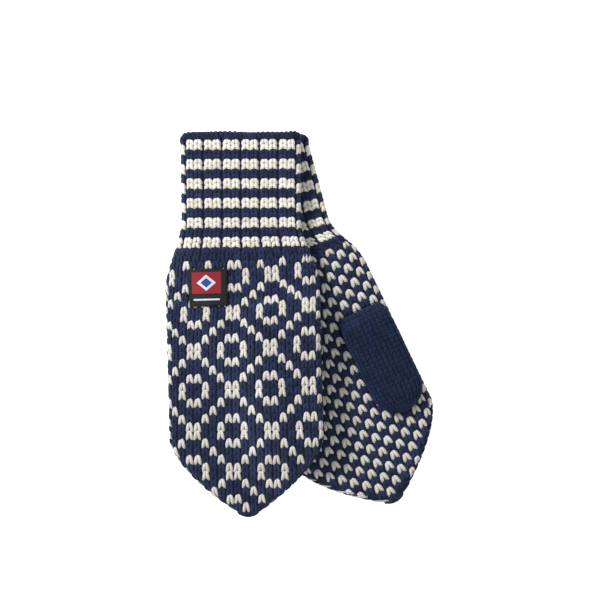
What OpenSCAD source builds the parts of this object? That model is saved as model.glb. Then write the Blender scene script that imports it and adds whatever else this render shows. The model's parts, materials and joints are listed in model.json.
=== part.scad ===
// A pair of stranded wool mittens, laid flat: the right one, back of the hand up, lies partly on the
// left one, palm up. Each mitten is a flattened knitted tube. A point of it is given by s, the distance
// across from its own centre line, t, the distance along from its cast-on edge, and n, the height
// towards the back of the hand. The functions below carry s, t and n into the frame of the pair.

/* [Mitten] */
// Length of one mitten from its cast-on edge to the fingertip
mitten_len = 271; // [225:0.1:326]
// Width of the hand, laid flat
hand_w = 109; // [90:0.1:131]
// Thickness of the flat mitten, both fabrics together
mitten_t = 12; // [11:0.1:15]
// Thickness of the knitted fabric
knit_wall = 2.5; // [1.8:0.1:2.7]
// Thickness of the layer of carried strands inside the hand
float_t = 0.6; // [0.4:0.1:0.8]
// Play between the fabric and the strands inside it
float_gap = 0.1; // [0.05:0.05:0.2]

/* [Cuff] */
// Length of the striped ribbed cuff, with its cast-on edge
cuff_len = 83; // [69:0.1:100]
// Width of the cuff at its open end
cuff_w = 85; // [70:0.1:102]
// Width of the cuff at the wrist
waist_w = 84; // [70:0.1:101]
// Number of ribs round the cuff, each two stitches wide
rib_count = 14; // [12:2:18]
// Depth of the furrows between the ribs
rib_depth = 0.7; // [0.4:0.1:0.9]
// Width of the rolled cast-on edge, along the mitten
edge_len = 4.6; // [3.8:0.1:5.6]
// Thickness of the rolled cast-on edge
edge_t = 3.2; // [2.6:0.1:3.9]

/* [Hand] */
// Length of the plain band between the cuff and the pattern
band_len = 8; // [6:0.5:10]
// How far before the end of the cuff the knitting starts to widen
flare_before = 22; // [18:0.5:26]
// How far past the end of the cuff the knitting has its full width
flare_len = 27; // [22:0.5:32]
// Length of the pointed fingertip
tip_len = 56; // [46:1:66]
// Width of the blunt end of the fingertip
tip_w = 19; // [15:0.5:23]
// Thickness of the blunt end of the fingertip
tip_t = 8; // [7:0.5:9.6]
// How full the sides of the point are: 1 is straight
tip_fullness = 1.6; // [1.3:0.1:1.9]
// Radius of the gathered last stitches that close the fingertip
closure_r = 2; // [1.6:0.1:2.4]

/* [Thumb] */
// Length of the thumb from its root
thumb_len = 78; // [64:1:94]
// Width of the thumb, laid flat
thumb_w = 38; // [31:0.1:42]
// Thickness of the flat thumb, both fabrics together
thumb_t = 10.5; // [9:0.1:12.6]
// Thickness of the thumb's fabric
thumb_wall = 2.3; // [1.8:0.1:2.8]
// Distance from the end of the cuff to the root of the thumb
thumb_drop = 55; // [45:1:66]
// Distance from the side of the hand to the side of the thumb
thumb_inset = 1.4; // [1:0.1:4]
// Length of the thumb's rounded end
thumb_round = 20; // [16:1:24]
// How far each end of the thumb's slit lies inside the thumb's side
slit_inset = 2; // [1:0.1:3]
// Width of that slit, along the mitten
slit_w = 10; // [9:0.5:12]
// Thickness of the round of picked-up stitches that lines the slit
rim_t = 1.6; // [1.2:0.1:2]

/* [Label] */
// Width of the woven label
label_w = 27; // [22:1:32]
// Length of the woven label
label_len = 26; // [21:1:31]
// Thickness of the woven label
label_t = 0.7; // [0.5:0.1:0.9]
// Distance from the end of the cuff to the label
label_drop = 13; // [10.5:0.5:16]
// Distance from the side of the hand to the label
label_inset = 17; // [13:0.5:21]
// Diameter of the sewing thread
thread_d = 0.5; // [0.4:0.1:0.6]
// Length of one sewing stitch
stitch_len = 2.2; // [1.8:0.1:2.6]

/* [Laid out as a pair] */
// How far the left cuff's end lies to the right of the right cuff's end
left_over = 5; // [3:0.2:10]
// How far the left cuff's end lies below the right cuff's end
left_down = 11.2; // [8:0.1:15]
// Turn of the left cuff
left_cuff_turn = 15; // [11:0.5:18]
// Turn of the left hand
left_hand_turn = 25.7; // [20:0.1:30]
// Turn of the right cuff
right_cuff_turn = 0.3; // [0:0.1:3]
// Turn of the right hand
right_hand_turn = 1.5; // [0:0.1:4]
// Width of the slope where the right mitten comes down beside the left one
drape_w = 38; // [32:1:46]
// Width of the slope where the right palm comes down beside its thumb
thumb_drape_w = 26; // [22:1:31]
// Gap between pieces that only lie on each other
clear = 0.3; // [0.2:0.1:0.6]

/* [Hidden] */
navy = "#27365f";
cream = "#e9e5da";
pattern_mix = "#5d6886";
palm_mix = "#8d93a5";
label_black = "#17181d";
thread_black = "#0d0e12";
half_t = mitten_t / 2;
hand_half = hand_w / 2;
band_from = cuff_len + clear;
flare_end = cuff_len + flare_len;
hand_from = cuff_len + band_len;
hand_to = mitten_len - 2 * closure_r;
flare_from = cuff_len - flare_before;
shoulder = mitten_len - tip_len;
seam = 0.05;
float_in = knit_wall + float_gap;
cavity_in = float_in + float_t;
thumb_root = cuff_len + thumb_drop;
thumb_s = hand_half - thumb_inset - thumb_w / 2;
thumb_n = -(half_t + clear + thumb_t / 2);
slit_len = thumb_w - 2 * slit_inset;
slit_t = thumb_root + slit_w / 2 + clear;
rim_in = 0.1;
thumb_end_limit = 0.985;
thumb_end_thinning = 0.45;
thumb_drape_before = 8;
thumb_drape_after = 4;
bend_len = 34;
bend_before = 23;
bend_from = cuff_len - bend_before;
bend_end = bend_from + bend_len;
label_s = label_inset + label_w / 2 - hand_half;
label_from = cuff_len + label_drop;
label_gap = 0.35;
label_steps = 6;
sewing_in = 1.2;
tip_wall_share = 1.4;
arc_steps = 3;
flat_steps = 11;
cuff_steps = 5;
band_steps = 2;
hand_steps = 11;
tip_steps = 8;
thumb_steps = 8;
thumb_end_steps = 6;
rim_sides = 8;
round_fn = 32;
thread_fn = 16;
// A rib's section: shares of its width, and how much of the furrow's depth the fabric is sunk there
rib_profile = [[0.05, 1], [0.12, 0], [0.31, 0], [0.5, 0], [0.69, 0], [0.88, 0], [0.95, 1]];
rib_start = (rib_count / 4) % 1;
LEFT = [[left_over, -left_down], left_cuff_turn, left_hand_turn, -1];
RIGHT = [[0, 0], right_cuff_turn, right_hand_turn, 1];

// 0 below a, 1 above b, and a smooth S between them
function smooth(a, b, x) = let (u = max(0, min(1, (x - a) / (b - a)))) u * u * (3 - 2 * u);
function between(a, b, u) = a + (b - a) * u;

// Half the flat width of a mitten at t: cuff, flare, hand, then the point
function half_w(t) =
    let (cuff = between(cuff_w, waist_w, min(1, t / cuff_len)) / 2,
         hand = between(cuff, hand_half, smooth(flare_from, flare_end, t)),
         u = max(0, min(1, (t - shoulder) / (hand_to - shoulder))))
    hand - (hand - tip_w / 2) * pow(u, tip_fullness);
function half_thick(t) = between(half_t, tip_t / 2, smooth(shoulder, hand_to, t));

// Half width and half thickness of the thumb at r from its root, round towards its end
function thumb_end_share(r) = max(0, min(thumb_end_limit, (r - thumb_len + thumb_round) / thumb_round));
function thumb_half_w(r) = thumb_w / 2 * sqrt(1 - pow(thumb_end_share(r), 2));
function thumb_half_t(r) = thumb_t / 2 * (1 - thumb_end_thinning * pow(thumb_end_share(r), 2));

// A flattened tube's section: flats of the fabric joined by half circles. Arc and flat steps run from
// the right fold over the back to the left fold, and on over the palm.
function half_section(w, h) = concat(
    [for (i = [0:arc_steps]) let (a = 90 * i / arc_steps) [w - h + h * cos(a), h * sin(a)]],
    [for (i = [1:flat_steps - 1]) [(w - h) * (1 - 2 * i / flat_steps), h]],
    [for (i = [0:arc_steps]) let (a = 90 + 90 * i / arc_steps) [h - w + h * cos(a), h * sin(a)]]);
function section(w, h) =
    let (back = half_section(w, h), last = len(back) - 1)
    concat([for (i = [0:last - 1]) back[i]], [for (i = [0:last - 1]) -back[i]]);

// The centre line of a mitten: straight cuff, a bend at the wrist, straight hand
function heading(a) = [sin(a), -cos(a)];
function across(a) = [cos(a), sin(a)];
function turn_at(m, t) = between(m[1], m[2], max(0, min(1, (t - bend_from) / bend_len)));
function centre_at(m, t) =
    m[0] + heading(m[1]) * min(t, bend_from)
    + heading((m[1] + turn_at(m, t)) / 2) * max(0, min(bend_len, t - bend_from))
    + heading(m[2]) * max(0, t - bend_from - bend_len);
function plan(m, s, t) = centre_at(m, t) + s * across(turn_at(m, t));

// How high the right mitten is lifted: by the left mitten under it, and by its own folded thumb
left_corner = plan(LEFT, -hand_half, bend_end);
function on_left(c) =
    smooth(-drape_w, 0, (c - left_corner) * across(left_cuff_turn))
    * smooth(-drape_w, 0, (c - left_corner) * across(left_hand_turn));
function on_thumb(s, t) =
    let (side = thumb_s - thumb_w / 2 - clear,
         top = thumb_root - thumb_drape_before,
         end = thumb_root + thumb_len + thumb_drape_after)
    smooth(side - thumb_drape_w, side, s)
    * smooth(top - thumb_drape_w, top, t) * (1 - smooth(end, end + thumb_drape_w, t));
function lift(c, s, t) = clear + mitten_t * on_left(c) + (thumb_t + clear) * on_thumb(s, t);

// The pair's frame: the middle of its outline on the plane, and z = 0 under the left mitten
outline = [for (m = [LEFT, RIGHT], t = [0:1:mitten_len], q = [-1, 1]) plan(m, q * half_w(t), t)];
outline_x = [for (p = outline) p[0]];
outline_y = [for (p = outline) p[1]];
middle = [(min(outline_x) + max(outline_x)) / 2, (min(outline_y) + max(outline_y)) / 2];
function place(m, s, t, n) =
    let (c = plan(m, s, t))
    [c[0] - middle[0], c[1] - middle[1], half_t + m[3] * n + (m[3] > 0 ? lift(c, s, t) : 0)];

// Where a flat spot of the fabric is, as an origin with the mitten's own directions
module at_spot(m, s, t, n) {
    translate(place(m, s, t, n)) rotate([0, 0, turn_at(m, t)]) children();
}

// Triangles of a grid of rows and columns, and of a strip between two lists of points
function grid(rows, cols, base, wrap, turned) = [
    for (r = [0:rows - 2], c = [0:(wrap ? cols : cols - 1) - 1])
        let (a = base + r * cols + c, b = base + r * cols + (c + 1) % cols, d = a + cols, e = b + cols)
        each turned ? [[a, b, e], [a, e, d]] : [[a, d, e], [a, e, b]]];
function strip(p, q, turned) = [
    for (i = [0:len(p) - 2])
        each turned ? [[p[i], q[i + 1], p[i + 1]], [p[i], q[i], q[i + 1]]]
                    : [[p[i], p[i + 1], q[i + 1]], [p[i], q[i + 1], q[i]]]];
function fan(p, turned) = [
    for (i = [1:len(p) - 2]) turned ? [p[0], p[i + 1], p[i]] : [p[0], p[i], p[i + 1]]];
function flat_list(rows) = [for (row = rows) each row];
function row_ids(base, cols, row) = [for (c = [0:cols - 1]) base + row * cols + c];
function col_ids(base, cols, rows, col) = [for (r = [0:rows - 1]) base + r * cols + col];
function looped(p) = concat(p, [p[0]]);

// A tube of fabric from rings of outer and inner points; the far end is open or closed
module tube(outer, inner, turned, closed = false) {
    rows = len(outer);
    cols = len(outer[0]);
    base = rows * cols;
    last_out = row_ids(0, cols, rows - 1);
    last_in = row_ids(base, cols, rows - 1);
    far = closed ? concat(fan(last_out, !turned), fan(last_in, turned))
                 : strip(looped(last_out), looped(last_in), !turned);
    near = strip(looped(row_ids(0, cols, 0)), looped(row_ids(base, cols, 0)), turned);
    polyhedron(
        points = concat(flat_list(outer), flat_list(inner)),
        faces = concat(
            grid(rows, cols, 0, true, turned), grid(rows, cols, base, true, !turned), near, far));
}

// Half of such a tube, closed at the fingertip and cut along its two folds
module half_tube(outer, inner, turned) {
    rows = len(outer);
    cols = len(outer[0]);
    base = rows * cols;
    last_out = row_ids(0, cols, rows - 1);
    last_in = row_ids(base, cols, rows - 1);
    near = strip(row_ids(0, cols, 0), row_ids(base, cols, 0), turned);
    first_fold = strip(col_ids(0, cols, rows, 0), col_ids(base, cols, rows, 0), !turned);
    last_fold = strip(col_ids(0, cols, rows, cols - 1), col_ids(base, cols, rows, cols - 1), turned);
    tip_fold = fan([last_out[0], last_out[cols - 1], last_in[cols - 1], last_in[0]], !turned);
    polyhedron(
        points = concat(flat_list(outer), flat_list(inner)),
        faces = concat(
            grid(rows, cols, 0, false, turned), grid(rows, cols, base, false, !turned),
            near, first_fold, last_fold, fan(last_out, !turned), fan(last_in, turned), tip_fold));
}

// Rows of points of the fabric at a depth below its outer face; half is 1 for the back, -1 for the palm
function hand_rows(inset) =
    let (end = hand_to - tip_wall_share * inset)
    concat([for (i = [0:hand_steps - 1]) between(hand_from, shoulder, i / hand_steps)],
           [for (i = [0:tip_steps]) between(shoulder, end, i / tip_steps)]);
function panel_points(m, inset, half) = [
    for (t = hand_rows(inset))
        [for (p = half_section(half_w(t) - inset, half_thick(t) - inset))
            place(m, half * p[0], t, half * p[1])]];
function ring_points(m, t, inset) = [
    for (p = section(half_w(t) - inset, half_thick(t) - inset)) place(m, p[0], t, p[1])];

// The cuff's section: ribs of equal width round the folded fabric, with a furrow after each. The first
// rib starts far enough past the fold for a furrow to lie on the middle of the back.
function rib_spot(a, w, h) =
    let (f = 2 * (w - h), q = PI * h, b = a % (f + q), turned = a % (2 * (f + q)) < f + q ? 1 : -1,
         g = b < q / 2 ? b / h * 180 / PI : b < q / 2 + f ? 90 : 90 + (b - q / 2 - f) / h * 180 / PI,
         x = b < q / 2 ? w - h : b < q / 2 + f ? w - h - (b - q / 2) : h - w)
    turned * [x + h * cos(g), h * sin(g)];
function rib_section(w, h) =
    let (around = 4 * (w - h) + 2 * PI * h, rib = around / rib_count)
    [for (k = [0:rib_count - 1], e = rib_profile)
        let (d = e[1] * rib_depth, a = (k + rib_start + e[0]) * rib, sunk = (around - 2 * PI * d) / around)
        rib_spot(a * sunk, w - d, h - d)];
function cuff_points(m, t, inset) = [
    for (p = rib_section(half_w(t) - inset, half_thick(t) - inset)) place(m, p[0], t, p[1])];

module cast_on_edge(m) {
    w = half_w(edge_len / 2) - edge_t / 2;
    h = half_t - edge_t / 2;
    spine = section(w, h);
    count = len(spine);
    points = [
        for (i = [0:count - 1])
            let (out = spine[(i + 1) % count] - spine[(i + count - 1) % count],
                 side = [out[1], -out[0]] / norm(out))
            [for (k = [0:rim_sides - 1])
                let (a = 360 * k / rim_sides, p = spine[i] + side * edge_t / 2 * cos(a))
                place(m, p[0], edge_len / 2 * (1 + sin(a)), p[1])]];
    wrapped = concat(points, [points[0]]);
    color(navy) polyhedron(
        points = flat_list(points),
        faces = [
            for (f = grid(count + 1, rim_sides, 0, true, m[3] > 0))
                [for (v = f) v % (count * rim_sides)]]);
}

module cuff(m) {
    stations = [for (i = [0:cuff_steps]) between(edge_len + seam, cuff_len, i / cuff_steps)];
    color(cream) tube(
        [for (t = stations) cuff_points(m, t, 0)],
        [for (t = stations) cuff_points(m, t, knit_wall)], m[3] < 0);
}

module wrist_band(m) {
    stations = [for (i = [0:band_steps]) between(band_from, hand_from - seam, i / band_steps)];
    color(navy) tube(
        [for (t = stations) ring_points(m, t, 0)],
        [for (t = stations) ring_points(m, t, knit_wall)], m[3] < 0);
}

module hand_back(m) {
    color(pattern_mix) half_tube(panel_points(m, 0, 1), panel_points(m, knit_wall, 1), m[3] < 0);
}

// The slit's outline, and the space that it leaves in the palm and in the strands behind it
module slit(inset) {
    long = slit_len - slit_w;
    square([long, slit_w - 2 * inset], center = true);
    for (q = [-1, 1])
        translate([q * long / 2, 0]) circle(d = slit_w - 2 * inset, $fn = round_fn);
}
module slit_space(m) {
    at_spot(m, thumb_s, slit_t, -half_t + cavity_in / 2)
        linear_extrude(2 * cavity_in, center = true) slit(0);
}

module palm(m) {
    color(palm_mix) difference() {
        half_tube(panel_points(m, 0, -1), panel_points(m, knit_wall, -1), m[3] < 0);
        slit_space(m);
    }
}

module thumb_rim(m) {
    color(navy) at_spot(m, thumb_s, slit_t, -half_t + knit_wall / 2)
        linear_extrude(knit_wall - 2 * rim_in, center = true) difference() {
            slit(seam);
            slit(rim_t);
        }
}

module inner_floats(m) {
    rows = [for (t = hand_rows(float_in)) ring_points(m, t, float_in)];
    rows_in = [for (t = hand_rows(cavity_in)) ring_points(m, t, cavity_in)];
    color(navy) difference() {
        tube(rows, rows_in, m[3] < 0, closed = true);
        slit_space(m);
    }
}

module tip_closure(m) {
    long = tip_w - 2 * closure_r;
    color(navy) at_spot(m, 0, mitten_len - closure_r + seam, 0) rotate([0, 90, 0]) {
        cylinder(r = closure_r, h = long, center = true, $fn = round_fn);
        for (q = [-1, 1])
            translate([0, 0, q * long / 2]) sphere(r = closure_r, $fn = round_fn);
    }
}

// The thumb's rings: its root is cut at a slant, so that its mouth faces the slit in the palm
function thumb_rows(inset) = concat(
    [for (i = [0:thumb_steps - 1]) (thumb_len - thumb_round) * i / thumb_steps],
    [for (i = [0:thumb_end_steps])
        thumb_len - thumb_round + (thumb_round - inset) * sin(90 * i / thumb_end_steps)]);
function thumb_ring(m, r, inset) = [
    for (p = section(thumb_half_w(r + inset * thumb_end_share(r)) - inset, thumb_half_t(r) - inset))
        let (slant = (thumb_t / 2 + p[1]) / thumb_t * slit_w * max(0, 1 - r / (thumb_len / 2)))
        place(m, thumb_s + p[0], thumb_root + clear + r + slant, thumb_n + p[1])];

module thumb(m) {
    color(navy) tube(
        [for (r = thumb_rows(0)) thumb_ring(m, r, 0)],
        [for (r = thumb_rows(thumb_wall)) thumb_ring(m, r, thumb_wall)], m[3] < 0, closed = true);
}

// The label lies on the back of the hand and follows it; x and y are measured from its first corner
function label_spot(m, x, y, up) = place(m, label_s - label_w / 2 + x, label_from + y, half_t + up);
module label(m) {
    last = label_steps;
    face = [for (up = [label_gap, label_gap + label_t])
        [for (i = [0:last]) [for (j = [0:last])
            label_spot(m, label_w * j / last, label_len * i / last, up)]]];
    n = last + 1;
    base = n * n;
    rim = concat(row_ids(0, n, 0), [for (i = [1:last]) i * n + last],
                 [for (j = [1:last]) base - 1 - j], [for (i = [1:last]) (last - i) * n]);
    color(label_black) polyhedron(
        points = concat(flat_list(face[0]), flat_list(face[1])),
        faces = concat(grid(n, n, 0, false, m[3] < 0), grid(n, n, base, false, m[3] > 0),
                       strip([for (v = rim) v + base], rim, m[3] > 0)));
}

// Sewing stitches round the label, each a short thread lying on it
module label_stitching(m) {
    wide = label_w - 2 * sewing_in;
    long = label_len - 2 * sewing_in;
    across_count = floor(wide / (2 * stitch_len));
    down_count = floor(long / (2 * stitch_len));
    up = label_gap + label_t + thread_d / 2 + seam;
    module stitch(x, y, along) {
        p = label_spot(m, x, y, up);
        ends = along ? [label_spot(m, x, y - stitch_len / 2, up), label_spot(m, x, y + stitch_len / 2, up)]
                     : [label_spot(m, x - stitch_len / 2, y, up), label_spot(m, x + stitch_len / 2, y, up)];
        d = ends[1] - ends[0];
        translate(p) rotate([0, acos(d[2] / norm(d)), atan2(d[1], d[0])])
            cylinder(d = thread_d, h = stitch_len, center = true, $fn = thread_fn);
    }
    color(thread_black) {
        for (i = [0:across_count - 1], y = [sewing_in, label_len - sewing_in])
            stitch(sewing_in + wide * (i + 0.5) / across_count, y, false);
        for (i = [0:down_count - 1], x = [sewing_in, label_w - sewing_in])
            stitch(x, sewing_in + long * (i + 0.5) / down_count, true);
    }
}

module left_cast_on_edge() { cast_on_edge(LEFT); }
module left_cuff() { cuff(LEFT); }
module left_wrist_band() { wrist_band(LEFT); }
module left_hand_back() { hand_back(LEFT); }
module left_palm() { palm(LEFT); }
module left_inner_floats() { inner_floats(LEFT); }
module left_tip_closure() { tip_closure(LEFT); }
module left_thumb_rim() { thumb_rim(LEFT); }
module left_thumb() { thumb(LEFT); }
module right_cast_on_edge() { cast_on_edge(RIGHT); }
module right_cuff() { cuff(RIGHT); }
module right_wrist_band() { wrist_band(RIGHT); }
module right_hand_back() { hand_back(RIGHT); }
module right_palm() { palm(RIGHT); }
module right_inner_floats() { inner_floats(RIGHT); }
module right_tip_closure() { tip_closure(RIGHT); }
module right_thumb_rim() { thumb_rim(RIGHT); }
module right_thumb() { thumb(RIGHT); }
module right_label() { label(RIGHT); }
module right_label_stitching() { label_stitching(RIGHT); }

left_cast_on_edge();
left_cuff();
left_wrist_band();
left_hand_back();
left_palm();
left_inner_floats();
left_tip_closure();
left_thumb_rim();
left_thumb();
right_cast_on_edge();
right_cuff();
right_wrist_band();
right_hand_back();
right_palm();
right_inner_floats();
right_tip_closure();
right_thumb_rim();
right_thumb();
right_label();
right_label_stitching();
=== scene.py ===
"""Looks for a pair of stranded wool mittens: every stitch is a pair of yarn legs laid on the fabric's own shape.

A point of a mitten's fabric is given by c, the distance round the flattened tube from the middle of the
back, t, the distance along from the cast-on edge, and up, the height over the fabric's outer face. The
functions under "The shape of a mitten" carry these into the frame. Sizes are in millimetres, and place()
gives metres.
"""
import json
import math

import bpy
import numpy as np
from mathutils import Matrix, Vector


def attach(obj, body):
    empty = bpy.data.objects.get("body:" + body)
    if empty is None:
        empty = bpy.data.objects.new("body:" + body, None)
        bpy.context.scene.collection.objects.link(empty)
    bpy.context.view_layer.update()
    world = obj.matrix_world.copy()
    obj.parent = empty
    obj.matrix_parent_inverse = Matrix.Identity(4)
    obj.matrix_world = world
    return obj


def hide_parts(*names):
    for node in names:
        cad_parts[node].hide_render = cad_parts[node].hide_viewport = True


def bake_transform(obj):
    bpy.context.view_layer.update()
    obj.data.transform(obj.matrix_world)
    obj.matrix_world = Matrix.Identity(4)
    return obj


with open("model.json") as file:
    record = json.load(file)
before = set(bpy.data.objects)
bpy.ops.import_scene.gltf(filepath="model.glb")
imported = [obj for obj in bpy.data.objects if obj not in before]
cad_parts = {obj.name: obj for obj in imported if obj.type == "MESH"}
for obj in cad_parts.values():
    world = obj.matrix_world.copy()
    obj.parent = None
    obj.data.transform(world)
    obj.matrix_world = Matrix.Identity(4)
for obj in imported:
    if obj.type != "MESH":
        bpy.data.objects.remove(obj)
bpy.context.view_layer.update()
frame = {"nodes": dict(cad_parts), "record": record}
MM = 0.001

# ---------------------------------------------------------------- sizes, as in the solid model
MITTEN_LEN, HAND_W, MITTEN_T, KNIT_WALL = 271, 109, 12, 2.5
CUFF_LEN, CUFF_W, WAIST_W, EDGE_LEN = 83, 85, 84, 4.6
BAND_LEN, FLARE_BEFORE, FLARE_LEN = 8, 22, 27
TIP_LEN, TIP_W, TIP_T, TIP_FULLNESS, CLOSURE_R = 56, 19, 8, 1.6, 2
THUMB_LEN, THUMB_W, THUMB_T = 78, 38, 10.5
THUMB_DROP, THUMB_INSET, THUMB_ROUND = 55, 1.4, 20
SLIT_INSET, SLIT_W = 2, 10
THUMB_ASIDE = 1.1
LABEL_W, LABEL_LEN, LABEL_DROP, LABEL_INSET = 27, 26, 13, 17
DRAPE_W, THUMB_DRAPE_W, CLEAR = 38, 26, 0.3
THUMB_DRAPE_BEFORE, THUMB_DRAPE_AFTER, THUMB_END_THINNING = 8, 4, 0.45
BEND_BEFORE, BEND_LEN = 23, 34
RIM_T, LABEL_T, LABEL_GAP, THREAD_D, SEAM_STITCH, SEWING_IN = 1.6, 0.7, 0.35, 0.5, 2.2, 1.2

HALF_T, HAND_HALF = MITTEN_T / 2, HAND_W / 2
FLARE_FROM, FLARE_END, HAND_FROM = CUFF_LEN - FLARE_BEFORE, CUFF_LEN + FLARE_LEN, CUFF_LEN + BAND_LEN
HAND_TO, SHOULDER = MITTEN_LEN - 2 * CLOSURE_R, MITTEN_LEN - TIP_LEN
THUMB_ROOT = CUFF_LEN + THUMB_DROP
THUMB_S = HAND_HALF - THUMB_INSET - THUMB_W / 2
SLIT_T, SLIT_LEN = THUMB_ROOT + SLIT_W / 2 + CLEAR, THUMB_W - 2 * SLIT_INSET
LABEL_S, LABEL_FROM = LABEL_INSET + LABEL_W / 2 - HAND_HALF, CUFF_LEN + LABEL_DROP
BEND_FROM = CUFF_LEN - BEND_BEFORE

# A mitten: where its cuff's end is, the turns of cuff and hand in degrees, 1 for back up or -1 for palm up
LEFT = ((5, -11.2), 15, 25.7, -1)
RIGHT = ((0, 0), 0.3, 1.5, 1)
SIDES = {"left": LEFT, "right": RIGHT}

# ---------------------------------------------------------------- the knitting
HAND_WALE, HAND_ROW, PATTERN_FROM = 5.37, 5.5, 89.1
BACK_WALES, PALM_WALES, BACK_FIRST = 21, 17, -55.2
CUFF_RIBS, CUFF_ROW, CUFF_FIRST = 14, 3.41, 2.82
CUFF_WALES = 2 * CUFF_RIBS
PALM_WALE = 6.8
THUMB_WALES, THUMB_ROW = 26, 3.4
YARN_R, PALM_YARN_R, CUFF_YARN_R, THUMB_YARN_R = 1.30, 1.48, 1.62, 0.66
# Painted shade: how far each yarn's tone falls at its sides, where it meets its neighbours
GROOVE_PAINTED_SHADE = 4.2
FOLD_SLIP, FOLD_SLIP_W = 5.0, 4.5
# How the upper mitten's back pattern is pulled out of square at stations t: spacing of the columns, shift
# across and along in mm, and how much the rows lean
PULL_T = (92, 106, 140, 169, 190, 211, 235)
PULL_SPREAD = (0.97, 0.985, 1.0, 1.0, 1.01, 1.034, 1.036)
PULL_ACROSS = (1.6, 1.2, -1.1, -2.0, -2.25, -2.45, -2.6)
PULL_ALONG = (1.8, 1.2, -2.1, -2.35, -1.35, -0.2, 1.2)
PULL_LEAN = (0, -0.005, -0.018, -0.020, -0.010, 0.0065, 0.017)
ROW_RISE, RISE_ACROSS, RISE_FADE = 3.8, (4, 54), (120, 205)
FLOAT_UP, FLOAT_R, FLOAT_ROW, FLOAT_SPAN = -2.9, 0.32, 3.6, 11.3


# ================================================================ the shape of a mitten
def smooth(a, b, x):
    """0 below a, 1 above b, and a smooth S between them."""
    u = np.clip((x - a) / (b - a), 0, 1)
    return u * u * (3 - 2 * u)


def between(a, b, u):
    """The value a share u of the way from a to b."""
    return a + (b - a) * u


def half_w(t):
    """Half the flat width at t: cuff, flare, hand, then the point."""
    cuff = between(CUFF_W, WAIST_W, np.clip(t / CUFF_LEN, 0, 1)) / 2
    hand = between(cuff, HAND_HALF, smooth(FLARE_FROM, FLARE_END, t))
    u = np.clip((t - SHOULDER) / (HAND_TO - SHOULDER), 0, 1)
    return (hand - (hand - TIP_W / 2) * u**TIP_FULLNESS) * tip_close(t)


def half_thick(t):
    """Half the thickness at t: even to the shoulder, then thinner in a smooth step to the tip."""
    return between(HALF_T, TIP_T / 2, smooth(SHOULDER, HAND_TO, t)) * tip_close(t)


def tip_close(t):
    """The share of the section that is left past the last row, where the tip closes as an ellipse does."""
    u = np.clip((t - HAND_TO) / (MITTEN_LEN - HAND_TO), 0, 0.999)
    return np.sqrt(1 - u * u)


def heading(a):
    """Direction along a mitten that is turned by a degrees, seen from above."""
    a = np.radians(a)
    return np.stack([np.sin(a), -np.cos(a)], -1)


def across(a):
    """Direction across a mitten that is turned by a degrees, seen from above."""
    a = np.radians(a)
    return np.stack([np.cos(a), np.sin(a)], -1)


def turn_at(m, t):
    """A mitten's turn at t, which changes at an even rate over the bend at its wrist."""
    return between(m[1], m[2], np.clip((t - BEND_FROM) / BEND_LEN, 0, 1))


def plan(m, s, t):
    """The point at s across and t along on the plane: the centre line is straight, bends, and is straight."""
    s, t = np.broadcast_arrays(np.asarray(s, float), np.asarray(t, float))
    turn = turn_at(m, t)
    centre = (
        np.array(m[0])
        + heading(m[1]) * np.minimum(t, BEND_FROM)[..., None]
        + heading((m[1] + turn) / 2) * np.clip(t - BEND_FROM, 0, BEND_LEN)[..., None]
        + heading(m[2]) * np.maximum(0, t - BEND_FROM - BEND_LEN)[..., None]
    )
    return centre + s[..., None] * across(turn)


LEFT_CORNER = plan(LEFT, -HAND_HALF, BEND_FROM + BEND_LEN)


def on_left(c):
    """1 where the right mitten lies on the left one, falling to 0 over the width of the drape."""
    return (smooth(-DRAPE_W, 0, (c - LEFT_CORNER) @ across(LEFT[1]))
            * smooth(-DRAPE_W, 0, (c - LEFT_CORNER) @ across(LEFT[2])))


def on_thumb(s, t):
    """1 where the right palm lies on its folded thumb, falling to 0 round it."""
    side, top = THUMB_S - THUMB_W / 2 - CLEAR, THUMB_ROOT - THUMB_DRAPE_BEFORE
    end = THUMB_ROOT + THUMB_LEN + THUMB_DRAPE_AFTER
    return (smooth(side - THUMB_DRAPE_W, side, s) * smooth(top - THUMB_DRAPE_W, top, t)
            * (1 - smooth(end, end + THUMB_DRAPE_W, t)))


OUTLINE_T = np.arange(0, MITTEN_LEN + 1)
OUTLINE = np.concatenate([plan(m, q * half_w(np.minimum(OUTLINE_T, HAND_TO)), OUTLINE_T)
                          for m in (LEFT, RIGHT) for q in (-1, 1)])
MIDDLE = (OUTLINE.min(0) + OUTLINE.max(0)) / 2


def place(m, s, t, n):
    """The point of the frame, in metres, at s across, t along and n towards the back of the hand."""
    s, t, n = np.broadcast_arrays(np.asarray(s, float), np.asarray(t, float), np.asarray(n, float))
    c = plan(m, s, t)
    z = HALF_T + m[3] * n
    if m[3] > 0:
        z = z + CLEAR + MITTEN_T * on_left(c) + (THUMB_T + CLEAR) * on_thumb(s, t)
    return np.concatenate([c - MIDDLE, z[..., None]], -1) * MM


def section_spot(c, w, h):
    """The point at distance c round a flattened section from the middle of its back, and the way out there:
    flats of half length w - h, joined by half circles of radius h."""
    u, sign = np.abs(c), np.sign(c)
    f = w - h
    g = np.clip((u - f) / h, 0, math.pi)
    x = np.where(u < f + math.pi * h, np.minimum(u, f) + h * np.sin(g), 2 * f + math.pi * h - u)
    return sign * x, h * np.cos(g), sign * np.sin(g), np.cos(g)


def around_at(t):
    """Distance round the section at t."""
    return 4 * (half_w(t) - half_thick(t)) + 2 * math.pi * half_thick(t)


def wrapped(c, around):
    """c brought back to between minus half and plus half the distance round."""
    return (c + around / 2) % around - around / 2


def fabric(m):
    """The map of a mitten's fabric: (c, t, up) to the frame. Low on the floor side nothing sinks below it."""
    def carried(c, t, up):
        t = np.clip(t, 0, MITTEN_LEN - 0.05)
        w, h = half_w(t), half_thick(t)
        x, n, out_x, out_n = section_spot(wrapped(c, around_at(t)), w, h)
        return place(m, x + up * out_x, t, n + up * out_n)
    return carried


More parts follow.
